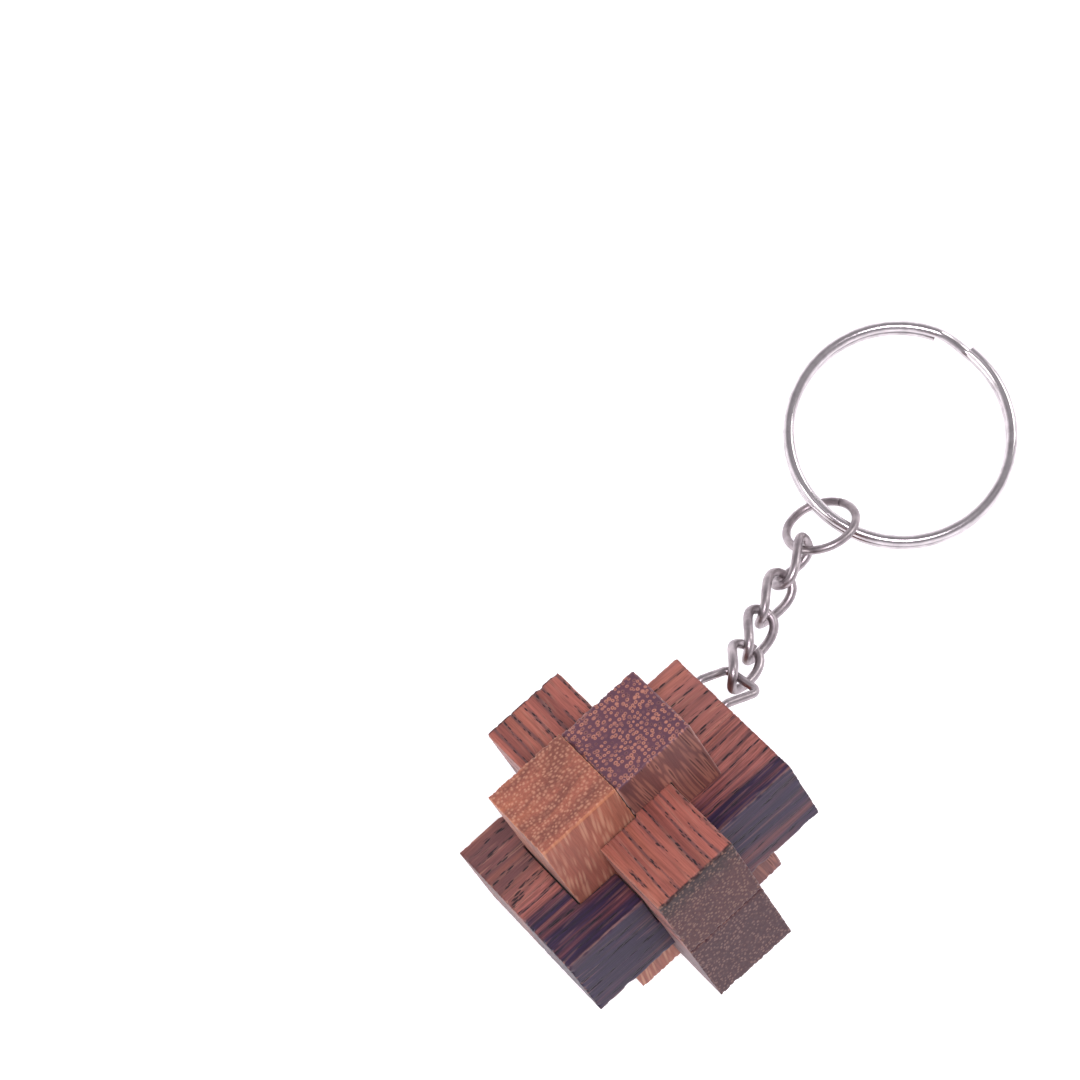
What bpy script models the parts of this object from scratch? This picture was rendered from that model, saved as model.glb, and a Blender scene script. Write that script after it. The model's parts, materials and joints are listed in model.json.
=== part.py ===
"""Six-piece burr puzzle of square wooden sticks, on a short curb chain and a split key ring.

The puzzle lies on a table, +Z up. Its own frame is tilted: the upright pair of sticks runs along the
burr's Z, the staple pair along its Y and the cross pair along its X. Lengths in metres, angles in degrees.
"""

import math

import bmesh
import bpy
from mathutils import Matrix, Vector

# Sticks
stick_width = 0.0094
stick_length = 0.030
stick_gap = 0.0003  # between the faces of neighbouring sticks
edge_softening = 0.00015
key_proud = 0.0004  # the key stick stands out of its pair by this much

# Staple, a U of wire in the end of the shackle stick
staple_wire = 0.0009
staple_width = 0.0044  # between the centres of its legs
staple_reach = 0.0031  # from the first bend to the crown
staple_skew = 0.0008  # the second leg is longer by this much
staple_stub = 0.0006  # straight stretch outside the wood
staple_lean = 27.0  # how far the legs droop towards the table
staple_sway = 6.0
staple_bend = 0.0007  # radius of its bends, at the wire's centre
staple_web = 0.0010  # wood left between the holes' ends and the notch
staple_hole_play = 0.0002
staple_aside = -0.0005  # the staple's middle from the stick's axis, along the cross pair
staple_above = 0.0021  # and along the upright pair

# Chain of twisted links
link_count = 4
link_wire = 0.0010
link_inner_length = 0.00535
link_inner_width = 0.0029
link_twist = 36.0  # each end is turned this much out of the link's plane
link_squareness = 2.4
link_cut = 0.00025  # gap where the wire's ends meet
link_cut_angle = -12.0  # where that is, round the link from its far end
link_play = 0.0003  # between the wires of neighbours at rest
chain_headings = (7.0, 10.8, 3.7, 2.1)
chain_slopes = (40.3, 27.7, 20.7, 20.8)
chain_rolls = (43.0, 52.0, 57.0, 90.0)
chain_start_share = 0.26  # how far along the staple's crown the chain hangs

# Jump ring
jump_wire = 0.0009
jump_outside = 0.0086
jump_heading = -8.4
jump_slope = 20.0
jump_room = 0.00084  # between its wire and the two turns of the split ring, both sides together
jump_cut = 0.0002

# Split ring, two turns of wire
split_wire = 0.00115
split_outside = 0.025
split_gap = 0.00025  # between its two turns
split_seat = 0.0015  # from the jump ring's centre to the split ring's wires
split_heading = -8.9
split_jog = 20.0  # arc where the wire steps from one turn to the other
split_jog_heading = 1.5  # middle of that arc, seen from the ring's centre

# How the puzzle lies on the table
burr_yaw = -106.6

# Fineness
wire_sides = 4  # bevel resolution
bend_steps = 6
link_steps = 56
ring_steps = 64
split_steps = 144
hole_sides = 24
cutter_overrun = 0.001

pitch = stick_width + stick_gap
unit = pitch / 2
clearance = stick_gap / 2

across = Vector((1, 0, 0))
lengthwise = Vector((0, 1, 0))
upward = Vector((0, 0, 1))


def clear_scene():
    for thing in list(bpy.data.objects):
        bpy.data.objects.remove(thing, do_unlink=True)


def material(name, colour, roughness, metallic=0.0):
    made = bpy.data.materials.new(name)
    made.use_nodes = True
    shader = made.node_tree.nodes["Principled BSDF"]
    shader.inputs["Base Color"].default_value = (*colour, 1)
    shader.inputs["Roughness"].default_value = roughness
    shader.inputs["Metallic"].default_value = metallic
    return made


def link_to_scene(thing):
    bpy.context.scene.collection.objects.link(thing)
    return thing


def empty(name, matrix):
    made = link_to_scene(bpy.data.objects.new(name, None))
    made.empty_display_size = stick_width
    made.matrix_world = matrix
    return made


def box_mesh(name, low, high):
    """A box between two corners given as vectors."""
    mesh = bpy.data.meshes.new(name)
    shape = bmesh.new()
    bmesh.ops.create_cube(shape, size=1)
    middle = (low + high) / 2
    size = high - low
    for vertex in shape.verts:
        vertex.co = middle + Vector(a * b for a, b in zip(vertex.co, size))
    shape.to_mesh(mesh)
    shape.free()
    return mesh


def spanning_box(name, spans):
    """A box from spans, each a direction with its low and high reach along it."""
    low = Vector()
    high = Vector()
    for direction, start, stop in spans:
        ends = (direction * start, direction * stop)
        low += Vector(min(pair) for pair in zip(*ends))
        high += Vector(max(pair) for pair in zip(*ends))
    return box_mesh(name, low, high)


def cutter(name, mesh, parent):
    made = link_to_scene(bpy.data.objects.new(name, mesh))
    made.hide_render = True
    made.display_type = "WIRE"
    made.parent = parent
    return made


def cut(target, tool):
    modifier = target.modifiers.new(tool.name, "BOOLEAN")
    modifier.operation = "DIFFERENCE"
    modifier.solver = "EXACT"
    modifier.object = tool


def notch_mesh(name, along, side, start, stop, centre):
    """One saw cut: it enters from side, goes to the stick's axis and runs from start to stop, in units."""
    mesh = spanning_box(
        name,
        (
            (along, start * unit - clearance, stop * unit + clearance),
            (side, -clearance, stick_width / 2 + cutter_overrun),
            (along.cross(side), -stick_width / 2 - cutter_overrun, stick_width / 2 + cutter_overrun),
        ),
    )
    mesh.transform(Matrix.Translation(centre))
    return mesh


def make_stick(name, along, out, notches, finish, frame, proud=0.0):
    """A square stick of a pair. along is its length, out points from the burr's centre to the stick's own
    side, and notches are (side the saw enters from, start, stop)."""
    centre = out * unit
    mesh = spanning_box(
        name,
        (
            (along, -stick_length / 2, stick_length / 2),
            (out, -stick_width / 2, stick_width / 2),
            (along.cross(out), -stick_width / 2, stick_width / 2),
        ),
    )
    mesh.transform(Matrix.Translation(centre + along * proud))
    mesh.materials.append(finish)
    stick = link_to_scene(bpy.data.objects.new(name, mesh))
    stick.parent = frame
    soften = stick.modifiers.new("soften", "BEVEL")
    soften.width = edge_softening
    soften.segments = 2
    soften.limit_method = "NONE"
    for number, (side, start, stop) in enumerate(notches, 1):
        label = f"{name}_notch_{number}"
        cut(stick, cutter(label, notch_mesh(label, along, side, start, stop, centre), frame))
    return stick


def make_sticks(frame):
    """Five notched sticks lock round each other and the plain key stick closes the last gap."""
    make_stick(
        "key_stick", upward, -lengthwise, (),
        material("orange_wood", (0.42, 0.17, 0.07), 0.5), frame, proud=key_proud,
    )
    make_stick(
        "upright_stick", upward, lengthwise,
        ((-lengthwise, -2, -1), (-lengthwise, 1, 2), (across, -1, 1)),
        material("purple_wood", (0.15, 0.06, 0.045), 0.5), frame,
    )
    make_stick(
        "front_stick", lengthwise, across,
        ((-across, -2, 0), (upward, -1, 1)),
        material("striped_wood", (0.12, 0.05, 0.05), 0.5), frame,
    )
    shackle_stick = make_stick(
        "shackle_stick", lengthwise, -across,
        ((across, -2, 2),),
        material("red_wood", (0.25, 0.09, 0.05), 0.5), frame,
    )
    make_stick(
        "upper_stick", across, upward,
        ((-upward, -2, 0), (-lengthwise, -1, 1)),
        material("russet_wood", (0.24, 0.09, 0.05), 0.5), frame,
    )
    make_stick(
        "lower_stick", across, -upward,
        ((upward, -2, 2), (-lengthwise, -1, 1)),
        material("brown_wood", (0.14, 0.06, 0.035), 0.5), frame,
    )
    return shackle_stick


def resting_frame():
    """Where the burr's frame lies when the sticks' lower corners stand on the table."""
    upright_corner = Vector((-stick_width / 2, 0, -stick_length / 2))
    cross_corner = Vector((-stick_length / 2, 0, -clearance - stick_width))
    edge = cross_corner - upright_corner
    tilt = math.atan2(edge.z, -edge.x)
    height = -(math.sin(tilt) * upright_corner.x + math.cos(tilt) * upright_corner.z)
    turn = Matrix.Rotation(math.radians(burr_yaw), 4, "Z") @ Matrix.Rotation(-tilt, 4, "Y")
    return Matrix.Translation((0, 0, height)) @ turn


def rounded_path(corners, radius):
    """The corners joined by straight runs, with an arc of this radius at each inner corner."""
    points = [corners[0]]
    for before, corner, after in zip(corners, corners[1:], corners[2:]):
        arriving = (corner - before).normalized()
        leaving = (after - corner).normalized()
        turn = arriving.angle(leaving)
        inward = (leaving - arriving).normalized()
        centre = corner + inward * radius / math.cos(turn / 2)
        first = corner - arriving * radius * math.tan(turn / 2) - centre
        axis = arriving.cross(leaving)
        for step in range(bend_steps + 1):
            points.append(centre + Matrix.Rotation(turn * step / bend_steps, 3, axis) @ first)
    points.append(corners[-1])
    return points


def make_wire(name, points, diameter, finish, matrix, parent=None):
    """A round wire with flat cut ends along the points."""
    curve = bpy.data.curves.new(name, "CURVE")
    curve.dimensions = "3D"
    curve.bevel_depth = diameter / 2
    curve.bevel_resolution = wire_sides
    curve.use_fill_caps = True
    spline = curve.splines.new("POLY")
    spline.points.add(len(points) - 1)
    spline.use_smooth = True
    for place, point in zip(spline.points, points):
        place.co = (*point, 1)
    curve.materials.append(finish)
    wire = link_to_scene(bpy.data.objects.new(name, curve))
    wire.parent = parent
    wire.matrix_world = matrix
    return wire


def staple_corners():
    """Its corners in the burr's frame, from the end of one leg to the end of the other."""
    face = stick_length / 2
    depth = face - 2 * unit - clearance - staple_web
    middle = Vector((-unit + staple_aside, face, staple_above))
    lean = math.radians(staple_lean)
    sway = math.radians(staple_sway)
    reach = Vector((math.sin(sway), math.cos(sway) * math.cos(lean), -math.cos(sway) * math.sin(lean)))
    first = middle - across * staple_width / 2
    second = middle + across * staple_width / 2
    stub = lengthwise * staple_stub
    sunk = -lengthwise * depth
    return (
        first + sunk,
        first + stub,
        first + stub + reach * staple_reach,
        second + stub + reach * (staple_reach + staple_skew),
        second + stub,
        second + sunk,
    )


def make_staple(shackle_stick, frame, steel):
    corners = staple_corners()
    radius = staple_wire / 2 + staple_hole_play
    for number, leg_end in enumerate((corners[0], corners[-1]), 1):
        reach = stick_length / 2 - leg_end.y + staple_hole_play + cutter_overrun
        mesh = bpy.data.meshes.new(f"staple_hole_{number}")
        shape = bmesh.new()
        bmesh.ops.create_cone(
            shape, cap_ends=True, segments=hole_sides, radius1=radius, radius2=radius, depth=reach,
            matrix=Matrix.Rotation(math.radians(-90), 4, "X"),
        )
        shape.to_mesh(mesh)
        shape.free()
        mesh.transform(Matrix.Translation(leg_end + lengthwise * (reach / 2 - staple_hole_play)))
        cut(shackle_stick, cutter(mesh.name, mesh, frame))
    bent = rounded_path(corners, staple_bend)
    make_wire("staple", bent, staple_wire, steel, frame.matrix_world.copy(), frame)
    return corners[2], corners[3]


def lying_frame(place, heading, slope, roll):
    """A frame at place whose X points along heading, down by slope, and is rolled about itself."""
    turn = (
        Matrix.Rotation(math.radians(heading), 4, "Z")
        @ Matrix.Rotation(math.radians(slope), 4, "Y")
        @ Matrix.Rotation(math.radians(roll), 4, "X")
    )
    return Matrix.Translation(place) @ turn


def link_path(held_wire):
    """Centre line of a twisted link. It hangs on a wire of held_wire diameter that crosses its origin."""
    half_length = (link_inner_length + link_wire) / 2
    half_width = (link_inner_width + link_wire) / 2
    middle = half_length - (link_wire + held_wire) / 2 - link_play
    power = 2 / link_squareness
    cut_place = math.radians(link_cut_angle)
    cut_share = link_cut / (2 * half_length)
    points = []
    for step in range(link_steps + 1):
        angle = cut_place + cut_share + (2 * math.pi - 2 * cut_share) * step / link_steps
        forward = math.copysign(abs(math.cos(angle)) ** power, math.cos(angle))
        aside = math.copysign(abs(math.sin(angle)) ** power, math.sin(angle)) * half_width
        twist = -math.radians(link_twist) * forward
        points.append(Vector((
            middle + half_length * forward,
            aside * math.cos(twist),
            aside * math.sin(twist),
        )))
    return points


def link_reach(held_wire):
    """From the wire that a link hangs on to the centre of its own far end."""
    return link_inner_length + link_wire - (link_wire + held_wire) / 2 - link_play


def make_chain(start, steel):
    place = start
    held_wire = staple_wire
    for number in range(link_count):
        frame = lying_frame(place, chain_headings[number], chain_slopes[number], chain_rolls[number])
        make_wire(f"link_{number + 1}", link_path(held_wire), link_wire, steel, frame)
        place = frame @ Vector((link_reach(held_wire), 0, 0))
        held_wire = link_wire
    return place


def ring_path(centre, radius, cut_width):
    """A flat ring with a small cut at its far side."""
    cut_share = cut_width / (2 * radius)
    points = []
    for step in range(ring_steps + 1):
        angle = cut_share + (2 * math.pi - 2 * cut_share) * step / ring_steps
        points.append(Vector((centre + radius * math.cos(angle), radius * math.sin(angle), 0)))
    return points


def jump_roll():
    """How far the jump ring tilts so that both turns of the split ring pass through its hole."""
    hole = jump_outside - 2 * jump_wire
    passing = 2 * split_wire + split_gap + jump_room
    return -math.degrees(math.asin(passing / math.hypot(hole, jump_wire)) + math.atan2(jump_wire, hole))


def make_jump_ring(place, steel):
    """Hangs on the last link. Returns its frame and how far its centre lies along it."""
    radius = (jump_outside - jump_wire) / 2
    centre = radius - (link_wire + jump_wire) / 2 - link_play
    frame = lying_frame(place, jump_heading, jump_slope, jump_roll())
    make_wire("jump_ring", ring_path(centre, radius, jump_cut), jump_wire, steel, frame)
    return frame, centre


def split_path(radius, level):
    """Two turns seen from the ring's seat, with one step down between them. The centre is at +X."""
    points = []
    start = math.radians(split_jog_heading - split_heading - split_jog / 2)
    sweep = 4 * math.pi - math.radians(split_jog)
    jog = math.radians(split_jog)
    for step in range(split_steps + 1):
        travelled = sweep * step / split_steps
        share = (travelled - (2 * math.pi - jog)) / jog
        share = min(max(share, 0), 1)
        height = level * (1 - 2 * share * share * (3 - 2 * share)) / 2
        angle = start - travelled
        points.append(Vector((radius + radius * math.cos(angle), radius * math.sin(angle), height)))
    return points


def make_split_ring(jump_frame, jump_centre, steel):
    """Hangs in the jump ring, with its far side down on the table."""
    radius = (split_outside - split_wire) / 2
    level = split_wire + split_gap
    seat = jump_frame @ Vector((jump_centre + split_seat, 0, 0))
    drop = seat.z - (level + split_wire) / 2
    slope = math.degrees(math.asin(drop / (2 * radius)))
    frame = lying_frame(seat, split_heading, slope, 0)
    make_wire("split_ring", split_path(radius, level), split_wire, steel, frame)


def centre_on_origin():
    """Moves everything so that the middle of the whole puzzle's box is at X = Y = 0."""
    bpy.context.view_layer.update()
    graph = bpy.context.evaluated_depsgraph_get()
    corners = []
    for thing in bpy.context.scene.objects:
        if thing.type == "EMPTY" or thing.hide_render:
            continue
        shape = thing.evaluated_get(graph)
        mesh = shape.to_mesh()
        corners += [thing.matrix_world @ vertex.co for vertex in mesh.vertices]
        shape.to_mesh_clear()
    shift = Vector((
        -(min(c.x for c in corners) + max(c.x for c in corners)) / 2,
        -(min(c.y for c in corners) + max(c.y for c in corners)) / 2,
        -min(c.z for c in corners),
    ))
    for thing in bpy.context.scene.objects:
        if thing.parent is None:
            thing.location += shift


def main():
    clear_scene()
    burr = empty("burr_frame", resting_frame())
    bpy.context.view_layer.update()
    shackle_stick = make_sticks(burr)
    steel = material("nickel_steel", (0.55, 0.53, 0.52), 0.3, 1.0)
    crown_start, crown_end = make_staple(shackle_stick, burr, steel)
    hang = burr.matrix_world @ crown_start.lerp(crown_end, chain_start_share)
    last_end = make_chain(hang, steel)
    jump_frame, jump_centre = make_jump_ring(last_end, steel)
    make_split_ring(jump_frame, jump_centre, steel)
    centre_on_origin()


main()
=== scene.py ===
import json
import math

import bmesh
import bpy
import numpy as np
from mathutils import Matrix, Vector, noise


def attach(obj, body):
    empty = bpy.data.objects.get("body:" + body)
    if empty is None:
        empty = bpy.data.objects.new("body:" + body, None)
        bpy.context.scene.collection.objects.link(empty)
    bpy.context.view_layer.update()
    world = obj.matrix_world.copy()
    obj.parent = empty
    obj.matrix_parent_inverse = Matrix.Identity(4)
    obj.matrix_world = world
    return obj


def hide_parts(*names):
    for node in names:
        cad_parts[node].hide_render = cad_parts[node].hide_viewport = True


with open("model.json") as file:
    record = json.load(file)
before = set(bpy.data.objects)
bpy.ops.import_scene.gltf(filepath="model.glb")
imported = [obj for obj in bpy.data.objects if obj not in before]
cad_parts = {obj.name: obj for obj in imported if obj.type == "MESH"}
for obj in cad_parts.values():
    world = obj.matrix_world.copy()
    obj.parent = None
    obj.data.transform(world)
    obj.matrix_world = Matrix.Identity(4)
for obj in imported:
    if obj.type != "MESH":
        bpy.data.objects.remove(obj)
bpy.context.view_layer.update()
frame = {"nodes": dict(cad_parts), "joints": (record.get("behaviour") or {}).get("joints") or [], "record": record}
record = frame["record"]
joints = {joint["name"]: joint for joint in frame["joints"]}
mounts = {mount["name"]: mount for mount in record["mounts"]}
scene = bpy.context.scene
scene.view_settings.view_transform = "Standard"  # wood tones stay as they are set
mm = 0.001


def fromHex(text):
    values = [int(text[i:i + 2], 16) / 255 for i in (1, 3, 5)]
    linear = [v / 12.92 if v <= 0.04045 else ((v + 0.055) / 1.055) ** 2.4 for v in values]
    return (*linear, 1)


def addNode(tree, kind, settings={}, inputs={}):
    made = tree.nodes.new(kind)
    for name, value in settings.items():
        setattr(made, name, value)
    for name, value in inputs.items():
        socket = made.inputs[name]
        if isinstance(value, bpy.types.NodeSocket):
            tree.links.new(value, socket)
        else:
            socket.default_value = value
    return made


def vectorStep(tree, operation, first, second=(0, 0, 0), third=(0, 0, 0)):
    return addNode(tree, "ShaderNodeVectorMath", {"operation": operation}, {
        0: first, 1: second, 2: third,
    }).outputs[0]


def calculator(tree):
    def calc(operation, first, second=0.0, third=0.0):
        return addNode(tree, "ShaderNodeMath", {"operation": operation}, {
            0: first, 1: second, 2: third,
        }).outputs[0]
    return calc


# where the burr lies: its X runs along the cross pair, Y the staple pair, Z the upright pair
burr = dict(yaw=-106.6, unit=4.85 * mm, stickWidth=9.4 * mm, stickLength=30 * mm, keyProud=0.4 * mm)
halfStick = tuple(burr[side] / 2 / mm for side in ("stickLength", "stickWidth", "stickWidth"))


def findBurrFrame():
    up = Vector(joints["key_slide"]["axis"]).normalized()
    yaw = Matrix.Rotation(math.radians(burr["yaw"]), 3, "Z")
    side = (yaw @ Vector((0, 1, 0))).normalized()
    cross = side.cross(up).normalized()
    keyEnds = Vector(mounts["key_push_face"]["pos_m"]) + Vector(mounts["key_pull_face"]["pos_m"])
    centre = keyEnds / 2 - up * burr["keyProud"] + side * burr["unit"]
    turn = Matrix((cross, side, up)).transposed().to_4x4()
    return Matrix.Translation(centre) @ turn


burrFrame = findBurrFrame()
print("burr centre", [round(v * 1000, 2) for v in burrFrame.translation])


# wood
def woodMaterial(name, look, stickFrame):
    # solid grain in the stick's own millimetres: vessels run along X, so ends show dots and sides dashes
    material = bpy.data.materials.new(name)
    material.use_nodes = True
    tree = material.node_tree
    calc = calculator(tree)
    shader = tree.nodes["Principled BSDF"]
    where = addNode(tree, "ShaderNodeTexCoord")
    place, turn, _ = stickFrame.decompose()
    local = addNode(tree, "ShaderNodeMapping", {"vector_type": "TEXTURE"}, {
        "Vector": where.outputs["Object"], "Location": place,
        "Rotation": turn.to_euler(), "Scale": (mm, mm, mm),
    }).outputs[0]
    shifted = vectorStep(tree, "ADD", local, look["shift"])

    def fade(value, low, high, start=0.0, end=1.0):
        return addNode(tree, "ShaderNodeMapRange", {"interpolation_type": "SMOOTHSTEP"}, {
            "Value": value, "From Min": low, "From Max": high, "To Min": start, "To Max": end,
        }).outputs[0]

    def mixed(factor, first, second, blend="MIX"):
        return addNode(tree, "ShaderNodeMix", {"data_type": "RGBA", "blend_type": blend}, {
            0: factor, 6: first, 7: second,
        }).outputs[2]

    def grain(along, across, detail=2.0, source=shifted, output="Fac"):
        # noise whose lumps are so many millimetres along the stick and across it
        scaled = vectorStep(tree, "MULTIPLY", source, (1 / along, 1 / across, 1 / across))
        return addNode(tree, "ShaderNodeTexNoise", {}, {
            "Vector": scaled, "Scale": 1.0, "Detail": detail, "Roughness": 0.55,
        }).outputs[output]

    sway = vectorStep(tree, "SUBTRACT", grain(16, 9, 1.0, output="Color"), (0.5, 0.5, 0.5))
    swayed = vectorStep(tree, "MULTIPLY_ADD", sway, (0, look["sway"], look["sway"]), shifted)

    # the distance from the tree's middle counts its years, and bands and rows follow them
    section = addNode(tree, "ShaderNodeSeparateXYZ", {}, {0: swayed}).outputs
    fromPith = [calc("SUBTRACT", section[side + 1], look["pith"][side]) for side in (0, 1)]
    squared = calc("MULTIPLY", fromPith[1], fromPith[1])
    radius = calc("SQRT", calc("MULTIPLY_ADD", fromPith[0], fromPith[0], squared))
    aside = calc("MULTIPLY", section[2], -look["pith"][0])
    aside = calc("MULTIPLY_ADD", section[1], look["pith"][1], aside)
    aside = calc("DIVIDE", aside, math.hypot(*look["pith"]))
    ringed = addNode(tree, "ShaderNodeCombineXYZ", {}, {
        0: section[0], 1: radius, 2: calc("MULTIPLY", aside, 0.22),
    }).outputs[0]

    # growth bands, from the base colour to the dark one, and a patchy warm cast
    bands = grain(80, look["bandWidth"], 3.0, ringed)
    parts = addNode(tree, "ShaderNodeSeparateXYZ", {}, {0: local}).outputs
    darkness = calc("MULTIPLY", parts[1], look["darkSide"][0])
    darkness = calc("MULTIPLY_ADD", parts[2], look["darkSide"][1], darkness)
    darkness = calc("MULTIPLY_ADD", parts[0], look["darkEnd"], darkness)
    darkness = calc("ADD", calc("MULTIPLY_ADD", bands, look["bandContrast"], darkness), look["darkBias"])
    darkness = fade(darkness, 0.4, 0.68)
    colour = mixed(darkness, fromHex(look["base"]), fromHex(look["dark"]))
    cast = grain(30, 2.0, 2.0, ringed)
    colour = mixed(fade(cast, 0.45, 0.7, 0, look["castStrength"]), colour, fromHex(look["cast"]))

    # fine fibres
    fibre = grain(look["fibreLength"], 0.16, 3.0, swayed)
    tone = fade(fibre, 0.28, 0.72, 1 - look["fibreContrast"], 1 + look["fibreContrast"])
    tone = addNode(tree, "ShaderNodeCombineColor", {}, {0: tone, 1: tone, 2: tone}).outputs[0]
    colour = mixed(1.0, colour, tone, "MULTIPLY")

    # how deep below each face a point lies
    inside = vectorStep(tree, "SUBTRACT", halfStick, vectorStep(tree, "ABSOLUTE", local))
    depth = addNode(tree, "ShaderNodeSeparateXYZ", {}, {0: inside}).outputs

    # a sawn end is stained, and darker towards the outside of the burr
    atEnd = fade(depth[0], 0.05, 0.3, 1.0, 0.0)
    colour = mixed(calc("MULTIPLY", atEnd, look["stainStrength"]), colour, fromHex(look["endStain"]))
    ridge = calc("ADD", parts[2], calc("MULTIPLY_ADD", grain(3, 0.9, 3.0), 5.0, -2.5))
    ridge = calc("MULTIPLY", atEnd, fade(ridge, 1.0, 4.4, 0.0, look["ridgeShade"]))
    colour = mixed(ridge, colour, fromHex(look["hollow"]))

    # early wood of each year: a greyer line with open vessels, in rows on the sides and in arcs at the ends
    years = calc("MULTIPLY_ADD", grain(25, 3.0, 2.0), 1.6, calc("DIVIDE", radius, look["yearWidth"]))
    early = calc("ABSOLUTE", calc("SUBTRACT", calc("FRACT", years), 0.5))
    patchy = fade(grain(5, 0.8, 1.0), 0.32, 0.5)
    line = calc("MULTIPLY", fade(early, 0.04, 0.2, 1.0, 0.0), patchy)
    atSide = calc("MULTIPLY_ADD", atEnd, look["endRows"] - 1, 1.0)
    line = calc("MULTIPLY", line, calc("MULTIPLY", atSide, look["lineStrength"]))
    colour = mixed(line, colour, fromHex(look["line"]))

    # pale sleeves around closed vessels: the grain leans, so a sawn side cuts each one as a streak
    lean = vectorStep(tree, "MULTIPLY", addNode(tree, "ShaderNodeCombineXYZ", {}, {
        1: parts[0], 2: parts[0],
    }).outputs[0], (0, look["tilt"][0], look["tilt"][1]))
    wander = vectorStep(tree, "SUBTRACT", grain(12, 5.0, 1.0, output="Color"), (0.5, 0.5, 0.5))
    leaning = vectorStep(tree, "MULTIPLY_ADD", wander, (0, look["wander"], look["wander"]), lean)
    leaning = vectorStep(tree, "ADD", leaning, shifted)
    spacing = look["poreSpacing"]
    across = addNode(tree, "ShaderNodeSeparateXYZ", {}, {0: leaning}).outputs
    flat = addNode(tree, "ShaderNodeCombineXYZ", {}, {
        0: calc("DIVIDE", across[1], spacing),
        1: calc("DIVIDE", across[2], spacing * look["poreStretch"]),
    }).outputs[0]
    cells = addNode(tree, "ShaderNodeTexVoronoi", {"voronoi_dimensions": "2D"}, {
        "Vector": flat, "Scale": 1.0, "Randomness": look["scatter"],
    })
    chance = addNode(tree, "ShaderNodeSeparateColor", {}, {0: cells.outputs["Color"]}).outputs
    reach = calc("DIVIDE", cells.outputs["Distance"], calc("MULTIPLY_ADD", chance[0], 0.5, 0.75))
    sleeve = fade(reach, look["sleeve"] * look["sleeveCrisp"], look["sleeve"], 1.0, 0.0)
    sleeve = calc("MULTIPLY", sleeve, fade(chance[1], look["bare"] - 0.05, look["bare"] + 0.15, 0.15, 1.0))
    sleeve = calc("MULTIPLY", sleeve, fade(grain(9, 1.1, 1.0), 0.3, 0.55, look["sleeveLeast"], 1.0))
    sleeve = calc("MULTIPLY", sleeve, fade(atEnd, 0.0, 1.0, look["sideSleeve"], look["endSleeve"]))
    colour = mixed(sleeve, colour, fromHex(look["pale"]))
    core = fade(reach, look["pore"] * 0.5, look["pore"], 1.0, 0.0)
    core = calc("MULTIPLY", core, fade(chance[2], look["closed"], look["closed"] + 0.1))

    # open vessels of the early wood, cut as short dashes
    dashes = (1 / look["dashLength"], 1 / look["dashWidth"], 1 / look["dashWidth"])
    stretched = vectorStep(tree, "MULTIPLY", swayed, dashes)
    slots = addNode(tree, "ShaderNodeTexVoronoi", {}, {
        "Vector": stretched, "Scale": 1.0, "Randomness": 1.0,
    })
    dash = fade(slots.outputs["Distance"], 0.30, 0.46, 1.0, 0.0)
    dash = calc("MULTIPLY", dash, fade(early, look["rowSpread"] * 0.6, look["rowSpread"], 1.0, 0.0))
    dash = calc("MULTIPLY", dash, calc("MULTIPLY", atSide, fade(patchy, 0.1, 0.5)))
    core = calc("MULTIPLY", core, look["poreStrength"])
    hollow = calc("MAXIMUM", core, calc("MULTIPLY", dash, look["dashStrength"]))
    colour = mixed(hollow, colour, fromHex(look["hollow"]))

    # end grain soaks up more oil and is darker
    soaked = calc("MULTIPLY", atEnd, look["endStrength"])
    colour = mixed(soaked, colour, fromHex(look["endTone"]), "MULTIPLY")

    # edges are rubbed pale here and there, and the same pale also stands in for a painted highlight along their
    # bevels: the second smallest depth is the way to the nearest edge
    least = calc("MINIMUM", depth[0], depth[1])
    most = calc("MAXIMUM", depth[0], depth[1])
    edge = calc("MAXIMUM", least, calc("MINIMUM", most, depth[2]))
    ragged = grain(1.6, 0.6, 3.0)
    wornAndHighlit = fade(calc("SUBTRACT", edge, calc("MULTIPLY", ragged, 0.30)), -0.30, -0.06, 1.0, 0.0)
    colour = mixed(calc("MULTIPLY", wornAndHighlit, look["wearAndHighlight"]), colour, fromHex(look["rubbedAndHighlit"]))

    tree.links.new(colour, shader.inputs["Base Color"])
    shine = calc("MULTIPLY_ADD", fibre, 0.22, look["roughness"] - 0.11)
    shine = calc("MULTIPLY_ADD", hollow, 0.25, shine)
    tree.links.new(shine, shader.inputs["Roughness"])
    shader.inputs["IOR"].default_value = 1.45  # thin oil on wood
    shader.inputs["Sheen Weight"].default_value = 0.08  # fine dust that pales the glancing sides
    shader.inputs["Sheen Roughness"].default_value = 0.4
    shader.inputs["Specular IOR Level"].default_value = 0.3  # open grain hardly mirrors the paper

    # sanding marks run across the grain and pores are small pits
    sanding = grain(0.12, 3.5, 1.0)
    height = calc("MULTIPLY_ADD", fibre, 0.6, calc("MULTIPLY", sanding, 0.35))
    height = calc("MULTIPLY_ADD", hollow, -1.5, height)
    bump = addNode(tree, "ShaderNodeBump", {}, {
        "Strength": 0.7, "Distance": 0.035 * mm, "Height": height,
    })
    tree.links.new(bump.outputs[0], shader.inputs["Normal"])
    return material


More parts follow.
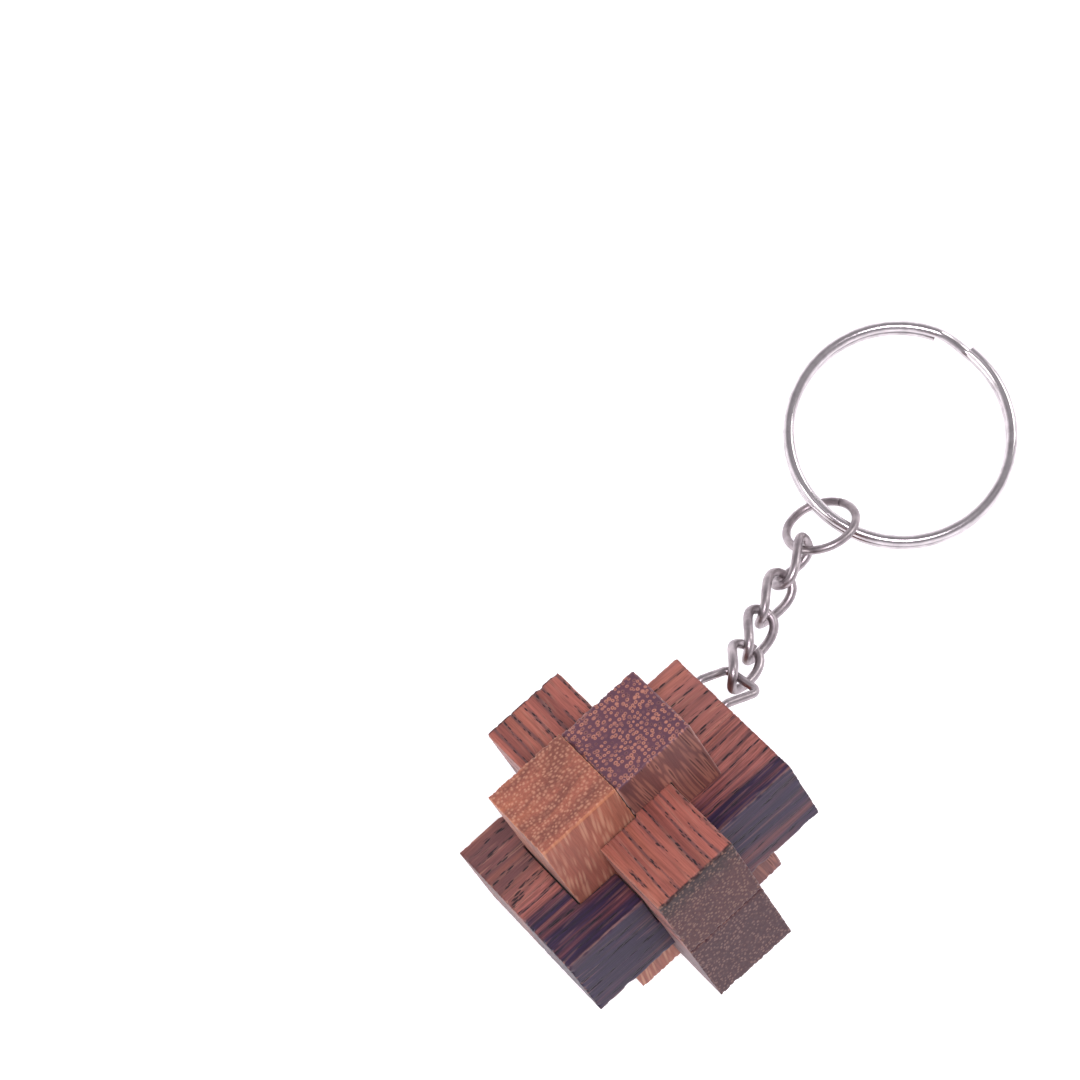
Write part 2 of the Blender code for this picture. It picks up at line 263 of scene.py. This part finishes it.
# lengths in looks and in sawing are millimetres, and most of the rest are shares
plainLook = dict(
    # colours
    base="#86504a", dark="#643c3c", cast="#9a5c4c", pale="#b98670", hollow="#241a1e", line="#5d4444",
    # the pale colour of the rubbed edges is partly real wear and partly a painted highlight
    rubbedAndHighlit="#b58a78", endTone="#c8b8b8", endStain="#5a3c44",
    # growth bands, where the dark ones gather, and the cast over them
    bandWidth=2.4, bandContrast=1.0, darkBias=0.0, darkSide=(0, 0), darkEnd=0.0, sway=1.2, castStrength=0.5,
    # fibres, years and the rows of open vessels in early wood
    fibreLength=4, fibreContrast=0.16, pith=(26, 4), yearWidth=1.2, lineStrength=0.45, rowSpread=0.16,
    dashLength=0.9, dashWidth=0.24, dashStrength=0.9, endRows=0.3,
    # closed vessels and the pale sleeves around them
    tilt=(0.07, 0.05), wander=1.2, poreSpacing=0.6, poreStretch=1.0, scatter=0.75, pore=0.12,
    poreStrength=0.5, closed=0.3, sleeve=0.30, sleeveCrisp=0.5, sleeveLeast=0.2, sideSleeve=0.4,
    endSleeve=0.6, bare=0.3,
    # sawn ends, edges (pale wear with a painted highlight) and polish
    endStrength=0.6, stainStrength=0.0, ridgeShade=0.0, wearAndHighlight=0.25, roughness=0.5, shift=(0, 0, 0),
)
crossLook = dict(
    plainLook, poreSpacing=0.42, scatter=1.0, sleeve=0.5, sleeveCrisp=0.1, endSleeve=0.85, sleeveLeast=0.15,
    bare=0.2, poreStrength=0.3, endTone="#85787f", endStain="#56343a", stainStrength=0.85, endRows=0.1,
)
sticks = {
    # along and out: the stick's length and the side of the burr that it is on, in the burr's frame
    "key_stick": dict(
        along="Z", out="-Y", slot="orange_wood", body="key", swell=0.10, wood="oiledOrangeHardwood",
        look=dict(
            plainLook, base="#945a4b", dark="#784a40", cast="#a6684f", pale="#cb9b80", lineStrength=0.1,
            dashStrength=0.0, bandWidth=1.6, bandContrast=1.1, poreSpacing=0.42, poreStretch=1.15,
            tilt=(0.1, 0.16), scatter=0.8, sleeve=0.5, sleeveCrisp=0.15, sideSleeve=0.5, endSleeve=0.52,
            sleeveLeast=0.3, bare=0.05, pore=0.08, poreStrength=0.25, closed=0.8, endTone="#f8eae4",
            wearAndHighlight=0.5, rubbedAndHighlit="#c8865f", shift=(3, 5, 1),
        ),
    ),
    "upright_stick": dict(
        along="Z", out="Y", slot="purple_wood", body="burr", swell=0.145, wood="oiledPurpleHardwood",
        look=dict(
            plainLook, base="#6a403c", dark="#523232", cast="#7a4940", pale="#b47a64", hollow="#382226",
            endStain="#593c4a", stainStrength=0.75, lineStrength=0.1, dashStrength=0.0, poreSpacing=0.55,
            tilt=(0.06, 0.09), scatter=0.65, sleeve=0.45, sleeveCrisp=0.55, sideSleeve=0.4, endSleeve=0.85,
            sleeveLeast=0.45, bare=0.1, pore=0.17, poreStrength=0.7, closed=0.1, endTone="#f2ecf6",
            # the paler, stronger edges of this stick are partly a painted highlight along the bevels
            wearAndHighlight=0.4, rubbedAndHighlit="#c9a196", shift=(11, 2, 7),
        ),
    ),
    "front_stick": dict(
        along="Y", out="X", slot="striped_wood", body="burr", swell=0.145, wood="oiledStripedHardwood",
        look=dict(
            plainLook, base="#8e564f", dark="#2c2038", cast="#985645", castStrength=0.35, pale="#9a7066",
            line="#2a222e", lineStrength=0.6, darkSide=(-0.03, 0.06), darkBias=0.09, darkEnd=-0.012,
            bandWidth=1.2, bandContrast=1.1, pith=(9, 24), yearWidth=1.3, dashLength=1.4,
            hollow="#1c161d", fibreContrast=0.38, sideSleeve=0.2, poreStrength=0.3, shift=(7, 1, 12),
        ),
    ),
    "shackle_stick": dict(
        along="Y", out="-X", slot="red_wood", body="burr", swell=0.145, wood="oiledRedHardwood",
        look=dict(
            plainLook, darkEnd=-0.010, base="#985e56", dark="#664242", cast="#a26351", pale="#bb8872",
            line="#563c3c", lineStrength=0.55, yearWidth=1.15, pith=(16, 18), dashLength=1.3,
            dashWidth=0.32, rowSpread=0.22, sideSleeve=0.3, bandWidth=1.5, bandContrast=1.15,
            shift=(2, 9, 4),
        ),
    ),
    "upper_stick": dict(
        along="X", out="Z", slot="russet_wood", body="burr", swell=0.145, wood="oiledRussetHardwood",
        look=dict(
            crossLook, base="#98584d", dark="#78433c", cast="#a0604d", pale="#a98270", line="#573d3f",
            lineStrength=0.75, pith=(26, 2), yearWidth=1.15, dashLength=0.85, dashWidth=0.21,
            rowSpread=0.19, sideSleeve=0.2, ridgeShade=0.75, fibreContrast=0.22, bandWidth=1.8,
            shift=(5, 3, 9),
        ),
    ),
    "lower_stick": dict(
        along="X", out="-Z", slot="brown_wood", body="burr", swell=0.145, wood="oiledBrownHardwood",
        look=dict(
            crossLook, base="#6c4649", dark="#523842", cast="#744a48", pale="#a58074", dashStrength=0.4,
            shift=(8, 6, 2),
        ),
    ),
}
sawing = dict(
    # the skin's mesh, and how far it is drawn out towards the sharp edge that it rounds off
    fineness=0.15, edgeTighten=0.45, edgeStart=0.2, edgeReach=0.6,
    # chips along the edges, ragged fibres around the ends and the saw's marks on them
    chipDepth=0.16, chipReach=0.35, chipLeast=0.12, chipLumps=(0.9, 1.7, 1.7), endRaggedness=0.14,
    endReach=0.6, endLumps=(0.8, 3.2, 3.2), biteReach=0.5, endRoughness=0.03, flatReach=0.04,
    sawLumps=(1, 5, 1.3),
)


def stickFrameOf(along, out):
    axes = {"X": Vector((1, 0, 0)), "Y": Vector((0, 1, 0)), "Z": Vector((0, 0, 1))}
    length = axes[along]
    outward = axes[out[-1]] * (-1 if out[0] == "-" else 1)
    turn = Matrix((length, outward.cross(length), outward)).transposed().to_4x4()
    return burrFrame @ Matrix.Translation(outward * burr["unit"]) @ turn


def smooth(value, low, high):
    share = np.clip((value - low) / (high - low), 0, 1)
    return share * share * (3 - 2 * share)


def noiseOver(points, scale, seed):
    shift = Vector((seed * 7.3, seed * 3.1, seed * 5.7))
    size = Vector(scale)
    scaled = (Vector((p[0] * size.x, p[1] * size.y, p[2] * size.z)) for p in points)
    return np.array([noise.noise(point + shift) for point in scaled])


def fineMesh(name, source, toLocal):
    # the stick in its own frame and in millimetres, as an even fine skin that can take nicks
    shape = bmesh.new()
    shape.from_mesh(source)
    bmesh.ops.remove_doubles(shape, verts=shape.verts, dist=1e-6)
    mesh = bpy.data.meshes.new(name + "Coarse")
    shape.to_mesh(mesh)
    shape.free()
    mesh.transform(Matrix.Scale(1 / mm, 4) @ toLocal)
    blank = bpy.data.objects.new(name + "Blank", mesh)
    scene.collection.objects.link(blank)
    skin = blank.modifiers.new("skin", "REMESH")
    skin.mode = "VOXEL"
    skin.voxel_size = sawing["fineness"]
    graph = bpy.context.evaluated_depsgraph_get()
    fine = bpy.data.meshes.new_from_object(blank.evaluated_get(graph))
    bpy.data.objects.remove(blank)
    return fine


def weather(mesh, swell, seed):
    # makes the edges crisp, nicks them, roughens the sawn ends, and swells the stick to close its seams
    points = np.empty(len(mesh.vertices) * 3)
    mesh.vertices.foreach_get("co", points)
    points = points.reshape(-1, 3)
    middle = np.array([points[:, 0].min() + points[:, 0].max(), 0, 0]) / 2
    half = np.array(halfStick)
    offset = points - middle
    sign = np.sign(offset)
    depth = np.maximum(half - np.abs(offset), 0)
    rise = smooth(depth, sawing["edgeStart"], sawing["edgeReach"])
    tight = sawing["edgeTighten"] + (1 - sawing["edgeTighten"]) * rise
    outer = np.abs(offset) > 0.5 * half
    points = np.where(outer, middle + sign * (half - depth * tight), points)
    depth = depth * tight
    edge = np.sort(depth, axis=1)[:, 1]  # the way to the nearest edge
    near = edge < sawing["chipReach"] * 2
    chips = np.zeros(len(points))
    chips[near] = noiseOver(points[near], sawing["chipLumps"], seed)
    fall = 1 - smooth(edge, 0, sawing["chipReach"])
    rag = np.zeros(len(points))
    atEnd = depth[:, 0] < sawing["endReach"]
    rag[atEnd] = noiseOver(points[atEnd], sawing["endLumps"], seed + 1)
    shallow = depth < sawing["biteReach"]
    bite = sawing["chipDepth"] * np.clip(chips - sawing["chipLeast"], 0, 1) * 2
    bite = bite + sawing["endRaggedness"] * np.clip(rag, 0, 1) * 1.5 * shallow[:, 0]
    inward = -sign * shallow
    points = points + inward * (bite * fall)[:, None] * 0.7
    flatEnd = depth[:, 0] < sawing["flatReach"]
    rough = noiseOver(points[flatEnd], sawing["sawLumps"], seed + 2)
    points[flatEnd, 0] += rough * sawing["endRoughness"]
    points[:, 1:] *= (half[1] + swell) / half[1]
    mesh.vertices.foreach_set("co", points.ravel())
    mesh.update()


def makeStick(name, stick, seed):
    place = stickFrameOf(stick["along"], stick["out"])
    mesh = fineMesh(name, frame["nodes"][name].data, place.inverted())
    weather(mesh, stick["swell"], seed)
    mesh.transform(place @ Matrix.Scale(mm, 4))
    mesh.materials.clear()
    mesh.materials.append(woodMaterial(stick["wood"], stick["look"], place))
    mesh.shade_smooth()
    mesh.set_sharp_from_angle(angle=math.radians(50))
    piece = bpy.data.objects.new(name + "_wood", mesh)
    scene.collection.objects.link(piece)
    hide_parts(name)
    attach(piece, stick["body"])
    print("stick", name, len(mesh.polygons), "faces")


for seed, (name, stick) in enumerate(sticks.items(), 1):
    makeStick(name, stick, seed)


# steel
def steelMaterial(name, light, dull, roughness):
    # nickel plate over drawn wire: a warm grey mirror, blurred by lines along the wire and dull patches
    material = bpy.data.materials.new(name)
    material.use_nodes = True
    tree = material.node_tree
    shader = tree.nodes["Principled BSDF"]
    where = addNode(tree, "ShaderNodeTexCoord").outputs["Object"]
    patches = addNode(tree, "ShaderNodeTexNoise", {}, {
        "Vector": where, "Scale": 700.0, "Detail": 3.0,
    }).outputs["Fac"]
    along = addNode(tree, "ShaderNodeAttribute", {"attribute_name": "wireCoordinate"}).outputs["Vector"]
    scaled = vectorStep(tree, "MULTIPLY", along, (0.25, 9, 9))  # die lines of 0.1 mm, some 4 mm long
    lines = addNode(tree, "ShaderNodeTexNoise", {}, {
        "Vector": scaled, "Scale": 1.0, "Detail": 3.0,
    }).outputs["Fac"]
    shine = calculator(tree)("MULTIPLY_ADD", patches, 0.24, roughness - 0.12)
    tree.links.new(shine, shader.inputs["Roughness"])
    mix = addNode(tree, "ShaderNodeMapRange", {}, {"Value": patches, "From Min": 0.35, "From Max": 0.65})
    colour = addNode(tree, "ShaderNodeMix", {"data_type": "RGBA"}, {
        0: mix.outputs[0], 6: fromHex(light), 7: fromHex(dull),
    })
    tree.links.new(colour.outputs[2], shader.inputs["Base Color"])
    shader.inputs["Metallic"].default_value = 1.0
    bump = addNode(tree, "ShaderNodeBump", {}, {
        "Strength": 0.4, "Distance": 0.006 * mm, "Height": lines,
    })
    tree.links.new(bump.outputs[0], shader.inputs["Normal"])
    return material


satinNickel = steelMaterial("satinNickelSteel", "#b0a6a8", "#8d8487", 0.38)
brightNickel = steelMaterial("brightNickelSteel", "#d2cbcd", "#b6afb1", 0.2)


def newTree(name, sockets):
    tree = bpy.data.node_groups.new(name, "GeometryNodeTree")
    for label, kind, value in sockets:
        socket = tree.interface.new_socket(label, in_out="INPUT", socket_type=kind)
        if value is not None:
            socket.default_value = value
    tree.interface.new_socket("Geometry", in_out="OUTPUT", socket_type="NodeSocketGeometry")
    return tree, addNode(tree, "NodeGroupInput").outputs


def drawWire(tree, given, curve):
    # sweeps the round wire along the curve, rounds its cut ends, and keeps the place along and around it
    calc = calculator(tree)
    bluntness = 0.8  # below 1, so that a small flat is left of each cut
    spline = addNode(tree, "GeometryNodeSplineParameter").outputs
    whole = addNode(tree, "GeometryNodeSplineLength").outputs["Length"]
    nearest = calc("MINIMUM", spline["Length"], calc("SUBTRACT", whole, spline["Length"]))
    share = calc("MINIMUM", calc("DIVIDE", nearest, given["End Rounding"]), 1.0)
    beyond = calc("SUBTRACT", 1.0, share)
    lost = calc("MULTIPLY", calc("MULTIPLY", beyond, beyond), bluntness)
    thickness = calc("SQRT", calc("SUBTRACT", 1.0, lost))
    marked = addNode(tree, "GeometryNodeStoreNamedAttribute", {"data_type": "FLOAT", "domain": "POINT"}, {
        "Geometry": curve, "Name": "alongWire", "Value": spline["Length"],
    }).outputs[0]
    thinned = addNode(tree, "GeometryNodeSetCurveRadius", {}, {
        "Curve": marked, "Radius": thickness,
    }).outputs[0]
    profile = addNode(tree, "GeometryNodeCurvePrimitiveCircle", {}, {
        "Resolution": given["Sides"], "Radius": given["Wire Radius"],
    }).outputs["Curve"]
    place = addNode(tree, "GeometryNodeInputPosition").outputs[0]
    vectorOnPoints = {"data_type": "FLOAT_VECTOR", "domain": "POINT"}
    profile = addNode(tree, "GeometryNodeStoreNamedAttribute", vectorOnPoints, {
        "Geometry": profile, "Name": "aroundWire", "Value": place,
    }).outputs[0]
    swept = addNode(tree, "GeometryNodeCurveToMesh", {}, {
        "Curve": thinned, "Profile Curve": profile, "Fill Caps": True,
    }).outputs[0]
    around = addNode(tree, "GeometryNodeInputNamedAttribute", {"data_type": "FLOAT_VECTOR"}, {
        "Name": "aroundWire",
    }).outputs[0]
    along = addNode(tree, "GeometryNodeInputNamedAttribute", {"data_type": "FLOAT"}, {
        "Name": "alongWire",
    }).outputs[0]
    parts = addNode(tree, "ShaderNodeSeparateXYZ", {}, {0: around}).outputs
    joined = addNode(tree, "ShaderNodeCombineXYZ", {}, {
        side: calc("MULTIPLY", value, 1 / mm) for side, value in enumerate((along, parts[0], parts[1]))
    }).outputs[0]
    stored = addNode(tree, "GeometryNodeStoreNamedAttribute", vectorOnPoints, {
        "Geometry": swept, "Name": "wireCoordinate", "Value": joined,
    }).outputs[0]
    smoothed = addNode(tree, "GeometryNodeSetShadeSmooth", {}, {"Geometry": stored}).outputs[0]
    real = addNode(tree, "GeometryNodeRealizeInstances", {}, {"Geometry": smoothed}).outputs[0]
    finished = addNode(tree, "GeometryNodeSetMaterial", {}, {
        "Geometry": real, "Material": given["Material"],
    }).outputs[0]
    addNode(tree, "NodeGroupOutput", {}, {"Geometry": finished})
    return tree


wireSockets = (
    ("Wire Radius", "NodeSocketFloat", 0.0005), ("Sides", "NodeSocketInt", 28),
    ("End Rounding", "NodeSocketFloat", 0.0002), ("Material", "NodeSocketMaterial", None),
)


def curveFrom(tree, count, position):
    # a line of count points, each moved to the position worked out from its number
    line = addNode(tree, "GeometryNodeMeshLine", {}, {"Count": count}).outputs[0]
    placed = addNode(tree, "GeometryNodeSetPosition", {}, {
        "Geometry": line, "Position": position,
    }).outputs[0]
    return addNode(tree, "GeometryNodeMeshToCurve", {}, {"Mesh": placed}).outputs[0]


def twistedLinkTree():
    # a squarish oval whose two ends are turned opposite ways out of its plane
    tree, given = newTree("twistedLink", (
        ("Inner Length", "NodeSocketFloat", 0.005), ("Inner Width", "NodeSocketFloat", 0.003),
        ("Held Wire", "NodeSocketFloat", 0.001), ("Play", "NodeSocketFloat", 0.0003),
        ("Twist", "NodeSocketFloat", 36.0), ("Squareness", "NodeSocketFloat", 2.4),
        ("Cut", "NodeSocketFloat", 0.00025), ("Cut Angle", "NodeSocketFloat", 0.0),
        ("Steps", "NodeSocketInt", 320), *wireSockets,
    ))
    calc = calculator(tree)
    wire = calc("MULTIPLY", given["Wire Radius"], 2.0)
    halfLength = calc("MULTIPLY", calc("ADD", given["Inner Length"], wire), 0.5)
    halfWidth = calc("MULTIPLY", calc("ADD", given["Inner Width"], wire), 0.5)
    seat = calc("ADD", calc("MULTIPLY", calc("ADD", wire, given["Held Wire"]), 0.5), given["Play"])
    middle = calc("SUBTRACT", halfLength, seat)
    gap = calc("DIVIDE", given["Cut"], halfLength)
    number = addNode(tree, "GeometryNodeInputIndex").outputs[0]
    share = calc("DIVIDE", number, calc("SUBTRACT", given["Steps"], 1.0))
    sweep = calc("MULTIPLY", share, calc("SUBTRACT", 2 * math.pi, gap))
    start = calc("MULTIPLY", given["Cut Angle"], math.pi / 180)
    angle = calc("ADD", start, calc("MULTIPLY_ADD", gap, 0.5, sweep))
    power = calc("DIVIDE", 2.0, given["Squareness"])

    def squared(value):
        return calc("MULTIPLY", calc("SIGN", value), calc("POWER", calc("ABSOLUTE", value), power))

    forward = squared(calc("COSINE", angle))
    aside = calc("MULTIPLY", squared(calc("SINE", angle)), halfWidth)
    twist = calc("MULTIPLY", calc("MULTIPLY", given["Twist"], -math.pi / 180), forward)
    position = addNode(tree, "ShaderNodeCombineXYZ", {}, {
        0: calc("MULTIPLY_ADD", halfLength, forward, middle),
        1: calc("MULTIPLY", aside, calc("COSINE", twist)),
        2: calc("MULTIPLY", aside, calc("SINE", twist)),
    }).outputs[0]
    return drawWire(tree, given, curveFrom(tree, given["Steps"], position))


def woundRingTree():
    # a ring of one or more flat turns, with a step from each turn to the next
    tree, given = newTree("woundRing", (
        ("Radius", "NodeSocketFloat", 0.01), ("Centre", "NodeSocketFloat", 0.01),
        ("Start Angle", "NodeSocketFloat", 0.0), ("Sweep", "NodeSocketFloat", 360.0),
        ("Level", "NodeSocketFloat", 0.0), ("Jog", "NodeSocketFloat", 20.0),
        ("Steps", "NodeSocketInt", 600), *wireSockets,
    ))
    calc = calculator(tree)
    number = addNode(tree, "GeometryNodeInputIndex").outputs[0]
    share = calc("DIVIDE", number, calc("SUBTRACT", given["Steps"], 1.0))
    travelled = calc("MULTIPLY", share, given["Sweep"])
    angle = calc("MULTIPLY", calc("SUBTRACT", given["Start Angle"], travelled), math.pi / 180)
    past = calc("SUBTRACT", travelled, calc("SUBTRACT", 360.0, given["Jog"]))
    down = addNode(tree, "ShaderNodeMapRange", {"interpolation_type": "SMOOTHSTEP"}, {
        "Value": past, "From Min": 0.0, "From Max": given["Jog"], "To Min": 0.5, "To Max": -0.5,
    }).outputs[0]
    position = addNode(tree, "ShaderNodeCombineXYZ", {}, {
        0: calc("MULTIPLY_ADD", given["Radius"], calc("COSINE", angle), given["Centre"]),
        1: calc("MULTIPLY", given["Radius"], calc("SINE", angle)),
        2: calc("MULTIPLY", given["Level"], down),
    }).outputs[0]
    return drawWire(tree, given, curveFrom(tree, given["Steps"], position))


def bentWireTree():
    # a wire along the corners of a mesh path, bent at each to the given radius
    tree, given = newTree("bentWire", (
        ("Geometry", "NodeSocketGeometry", None), ("Bend Radius", "NodeSocketFloat", 0.0007),
        *wireSockets,
    ))
    curve = addNode(tree, "GeometryNodeMeshToCurve", {}, {"Mesh": given["Geometry"]}).outputs[0]
    bent = addNode(tree, "GeometryNodeFilletCurve", {"mode": "POLY"}, {
        "Curve": curve, "Radius": given["Bend Radius"], "Count": 16, "Limit Radius": True,
    }).outputs[0]
    even = addNode(tree, "GeometryNodeResampleCurve", {"mode": "LENGTH"}, {
        "Curve": bent, "Length": 0.06 * mm,
    }).outputs[0]
    return drawWire(tree, given, even)


def bakeWire(name, tree, values, place, node, body, mesh=None):
    holder = bpy.data.objects.new(name + "Maker", mesh or bpy.data.meshes.new(name + "Maker"))
    scene.collection.objects.link(holder)
    modifier = holder.modifiers.new("maker", "NODES")
    modifier.node_group = tree
    for item in tree.interface.items_tree:
        if item.in_out == "INPUT" and item.name in values:
            modifier[item.identifier] = values[item.name]
    graph = bpy.context.evaluated_depsgraph_get()
    made = bpy.data.meshes.new_from_object(holder.evaluated_get(graph))
    bpy.data.objects.remove(holder)
    made.transform(place)
    piece = bpy.data.objects.new(name, made)
    scene.collection.objects.link(piece)
    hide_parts(node)
    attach(piece, body)
    print("wire", name, len(made.polygons), "faces")


def lyingFrame(place, heading, slope, roll):
    turn = (
        Matrix.Rotation(math.radians(heading), 4, "Z")
        @ Matrix.Rotation(math.radians(slope), 4, "Y")
        @ Matrix.Rotation(math.radians(roll), 4, "X")
    )
    return Matrix.Translation(place) @ turn


staple = dict(
    wire=0.9 * mm, width=4.4 * mm, reach=3.1 * mm, skew=0.8 * mm, stub=0.6 * mm, lean=27, sway=6,
    bend=0.7 * mm, depth=4.15 * mm, aside=-0.5 * mm, above=2.1 * mm, rounding=0.1 * mm,
)


def makeStaple():
    face = burr["stickLength"] / 2
    middle = Vector((staple["aside"] - burr["unit"], face, staple["above"]))
    lean, sway = math.radians(staple["lean"]), math.radians(staple["sway"])
    out = Vector((math.sin(sway), math.cos(sway) * math.cos(lean), -math.cos(sway) * math.sin(lean)))
    half = Vector((staple["width"] / 2, 0, 0))
    stub = Vector((0, staple["stub"], 0))
    sunk = Vector((0, -staple["depth"], 0))
    first, second = middle - half, middle + half
    corners = [
        first + sunk, first + stub, first + stub + out * staple["reach"],
        second + stub + out * (staple["reach"] + staple["skew"]), second + stub, second + sunk,
    ]
    path = bpy.data.meshes.new("staplePath")
    path.from_pydata(corners, [(i, i + 1) for i in range(5)], [])
    bakeWire("staple_wire", bentWireTree(), {
        "Bend Radius": staple["bend"], "Wire Radius": staple["wire"] / 2, "Sides": 32,
        "End Rounding": staple["rounding"], "Material": satinNickel,
    }, burrFrame, "staple", "burr", path)


chain = dict(
    wire=1.0 * mm, innerLength=5.35 * mm, innerWidth=2.9 * mm, twist=36.0, squareness=2.4, cut=0.25 * mm,
    cutAngle=-12.0, play=0.3 * mm, rounding=0.12 * mm,
    # node, body, heading, slope and roll
    links=(
        ("link_1", "first_link", 7.0, 40.3, 43.0), ("link_2", "second_link", 10.8, 27.7, 52.0),
        ("link_3", "third_link", 3.7, 20.7, 57.0), ("link_4", "last_link", 2.1, 20.8, 90.0),
    ),
)


def makeChain():
    tree = twistedLinkTree()
    held = staple["wire"]
    for node, body, heading, slope, roll in chain["links"]:
        place = lyingFrame(Vector(joints[node + "_swing"]["pos_m"]), heading, slope, roll)
        bakeWire(node + "_wire", tree, {
            "Inner Length": chain["innerLength"], "Inner Width": chain["innerWidth"], "Held Wire": held,
            "Play": chain["play"], "Twist": chain["twist"], "Squareness": chain["squareness"],
            "Cut": chain["cut"], "Cut Angle": chain["cutAngle"], "Wire Radius": chain["wire"] / 2,
            "End Rounding": chain["rounding"], "Material": satinNickel,
        }, place, node, body)
        held = chain["wire"]


jumpRing = dict(
    wire=0.9 * mm, outside=8.6 * mm, heading=-8.4, slope=20.0, roll=-37.16, cut=0.2 * mm, play=0.3 * mm,
    rounding=0.12 * mm, steps=400,
)
splitRing = dict(
    wire=1.15 * mm, outside=25 * mm, gap=0.25 * mm, heading=-8.9, jog=20.0, jogHeading=1.5,
    rounding=0.25 * mm, steps=1100,
)


def makeRings():
    tree = woundRingTree()
    radius = (jumpRing["outside"] - jumpRing["wire"]) / 2
    centre = radius - (chain["wire"] + jumpRing["wire"]) / 2 - jumpRing["play"]
    cutAngle = math.degrees(jumpRing["cut"] / radius)
    seat = Vector(joints["jump_ring_swing"]["pos_m"])
    place = lyingFrame(seat, jumpRing["heading"], jumpRing["slope"], jumpRing["roll"])
    bakeWire("jump_ring_wire", tree, {
        "Radius": radius, "Centre": centre, "Start Angle": 0.0, "Sweep": 360.0 - cutAngle, "Level": 0.0,
        "Steps": jumpRing["steps"], "Wire Radius": jumpRing["wire"] / 2,
        "End Rounding": jumpRing["rounding"], "Material": satinNickel,
    }, place, "jump_ring", "small_ring")

    radius = (splitRing["outside"] - splitRing["wire"]) / 2
    level = splitRing["wire"] + splitRing["gap"]
    seat = Vector(joints["split_ring_swing"]["pos_m"])
    slope = math.degrees(math.asin((seat.z - (level + splitRing["wire"]) / 2) / (2 * radius)))
    bakeWire("split_ring_wire", tree, {
        "Radius": radius, "Centre": radius, "Level": level, "Jog": splitRing["jog"],
        "Start Angle": splitRing["jogHeading"] - splitRing["heading"] - splitRing["jog"] / 2,
        "Sweep": 720.0 - splitRing["jog"], "Steps": splitRing["steps"],
        "Wire Radius": splitRing["wire"] / 2, "End Rounding": splitRing["rounding"],
        "Material": brightNickel,
    }, lyingFrame(seat, splitRing["heading"], slope, 0), "split_ring", "key_ring")


makeStaple()
makeChain()
makeRings()


# floor, light and camera
def makeFloor():
    mesh = bpy.data.meshes.new("studioFloor")
    side = 1.5
    corners = [(-side, -side, 0), (side, -side, 0), (side, side, 0), (-side, side, 0)]
    mesh.from_pydata(corners, [], [(0, 1, 2, 3)])
    floor = bpy.data.objects.new("studioFloor", mesh)
    scene.collection.objects.link(floor)
    paper = bpy.data.materials.new("whitePaper")
    paper.use_nodes = True
    # lit a little from below, like a light table, so that shadows stay faint
    for socket, value in (
        ("Base Color", fromHex("#eeeef0")), ("Roughness", 0.9),
        ("Emission Color", fromHex("#ffffff")), ("Emission Strength", 0.45),
    ):
        paper.node_tree.nodes["Principled BSDF"].inputs[socket].default_value = value
    mesh.materials.append(paper)


def addLight(name, place, aim, size, power, colour="#ffffff"):
    lamp = bpy.data.lights.new(name, "AREA")
    lamp.shape = "DISK"
    lamp.size = size
    lamp.energy = power
    lamp.color = fromHex(colour)[:3]
    made = bpy.data.objects.new(name, lamp)
    made.location = place
    made.rotation_euler = (Vector(aim) - Vector(place)).to_track_quat("-Z", "Y").to_euler()
    scene.collection.objects.link(made)


def makeLight():
    # a pale room with a dimmer ceiling, which gives the polished wires their darker bands
    world = bpy.data.worlds.new("softStudio")
    scene.world = world
    world.use_nodes = True
    tree = world.node_tree
    way = addNode(tree, "ShaderNodeTexCoord").outputs["Generated"]
    height = addNode(tree, "ShaderNodeSeparateXYZ", {}, {0: way}).outputs[2]
    room = addNode(tree, "ShaderNodeMapRange", {"interpolation_type": "SMOOTHSTEP"}, {
        "Value": height, "From Min": 0.15, "From Max": 0.6, "To Min": 1.0, "To Max": 0.42,
    }).outputs[0]
    tree.links.new(room, tree.nodes["Background"].inputs["Strength"])
    tree.nodes["Background"].inputs["Color"].default_value = fromHex("#fbf8ff")
    addLight("softboxAbove", (-0.05, -0.08, 0.6), (0, 0, 0), 0.22, 2.5, "#fdf6ff")
    addLight("softboxLeft", (-0.5, 0.3, 0.35), (0, 0, 0), 0.3, 1.2)
    addLight("softboxRight", (0.5, -0.25, 0.35), (0, 0, 0), 0.3, 1.2)


camera = dict(
    azimuth=-46.39, elevation=77.89, roll=12.395, lens=137.5, place=(-3.46 * mm, -57.68 * mm, 433.6 * mm),
)


def makeCamera():
    made = bpy.data.objects.new("camera", bpy.data.cameras.new("camera"))
    scene.collection.objects.link(made)
    made.data.lens = camera["lens"]
    made.data.sensor_width = 36
    made.data.clip_start = 0.01
    around = Matrix.Rotation(math.radians(camera["azimuth"]), 4, "Z")
    foot = Vector((burrFrame.translation.x, burrFrame.translation.y, 0))
    made.matrix_world = (
        Matrix.Translation(foot)
        @ around
        @ Matrix.Translation(camera["place"])
        @ Matrix.Rotation(math.radians(90 - camera["elevation"]), 4, "X")
        @ Matrix.Rotation(math.radians(-camera["roll"]), 4, "Z")
    )
    scene.camera = made


makeFloor()
makeLight()
makeCamera()
